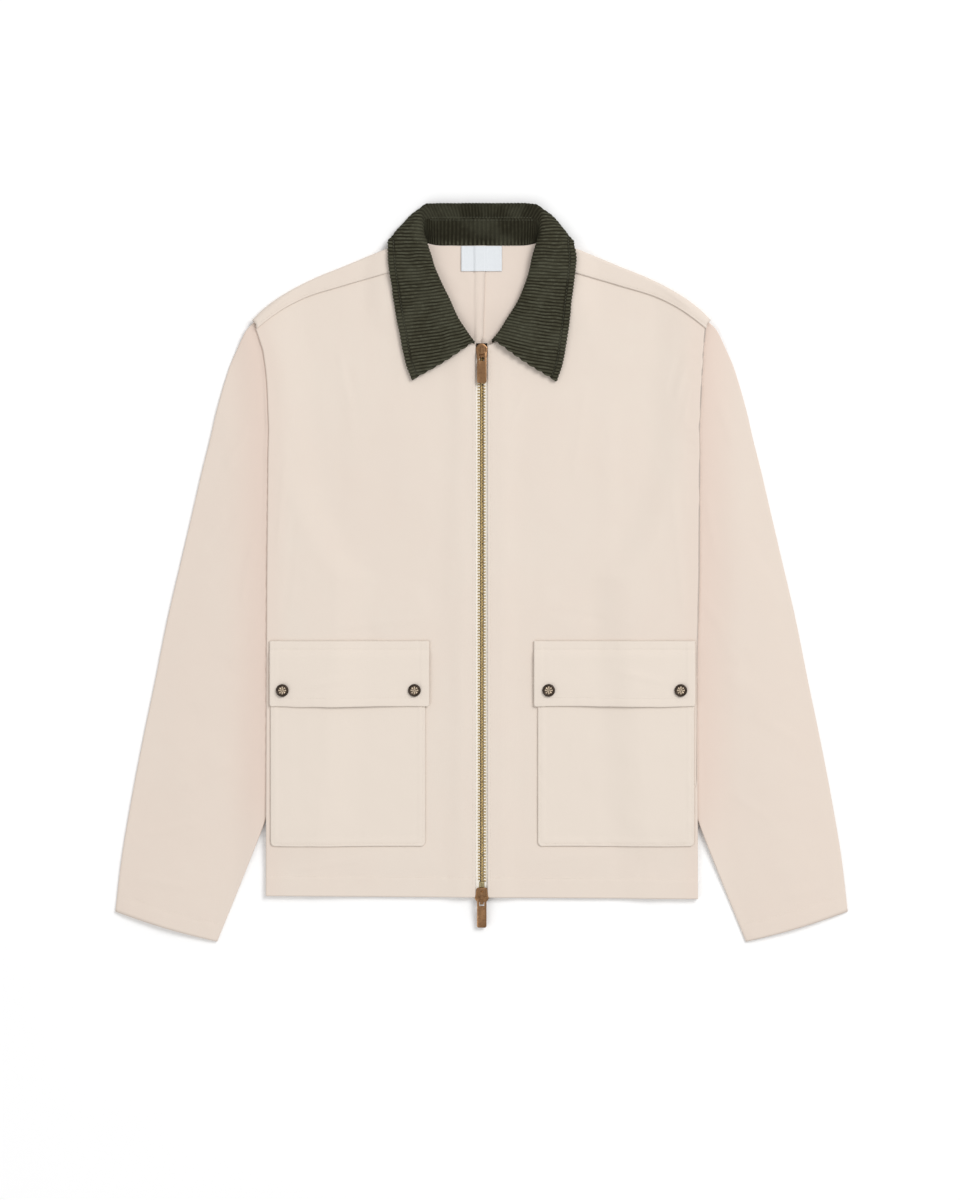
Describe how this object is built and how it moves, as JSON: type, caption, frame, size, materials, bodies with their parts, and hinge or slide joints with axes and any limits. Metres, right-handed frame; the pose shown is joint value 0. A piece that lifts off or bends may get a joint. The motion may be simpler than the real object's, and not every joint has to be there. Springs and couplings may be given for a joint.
{
  "type": "denim jacket",
  "caption": "Cream denim jacket laid flat, with a dark green corduroy collar, a two-way brass zip and snapped flap pockets.",
  "frame": {"origin": "on the table, under the middle of the jacket's outline as it lies", "axes": "+X to the wearer's left, +Y up from the hem to the collar, +Z up from the table"},
  "size_m": [0.7696, 0.7762, 0.0193],
  "materials": {
    "denim": "matte cream cotton denim",
    "pocket_denim": "matte paler cream cotton denim",
    "corduroy": "dark green wide-wale corduroy",
    "tape": "woven zip tape",
    "teeth_brass": "satin",
    "slider_metal": "copper plated, satin",
    "snap_metal": "dark brown, satin",
    "label_weave": "white woven, blank"
  },
  "bodies": {
    "jacket": {"front_left": "denim", "front_right": "denim", "back_left": "denim", "back_right": "denim", "sleeve_left": "denim", "sleeve_right": "denim", "collar_stand": "corduroy", "collar_leaf": "corduroy", "pocket_left": "pocket_denim", "pocket_right": "pocket_denim", "flap_left": "pocket_denim", "flap_right": "pocket_denim", "snap_left_outer": "snap_metal", "snap_left_inner": "snap_metal", "snap_right_outer": "snap_metal", "snap_right_inner": "snap_metal", "zip_tape_left": "tape", "zip_tape_right": "tape", "zip_chain": "teeth_brass", "slider_top": "slider_metal", "slider_bottom": "slider_metal", "neck_label": "label_weave"},
    "top_pull": {"pull_top": "slider_metal"},
    "bottom_pull": {"pull_bottom": "slider_metal"}
  },
  "joints": [
    {"name": "top_pull_swing", "type": "hinge", "parent": "jacket", "child": "top_pull", "pos_m": [0.00025, 0.2306, 0.0097], "axis": [-1, 0, 0], "range_deg": [0, 150]},
    {"name": "bottom_pull_swing", "type": "hinge", "parent": "jacket", "child": "bottom_pull", "pos_m": [0.00025, -0.3417, 0.0097], "axis": [-1, 0, 0], "range_deg": [0, 150]}
  ]
}
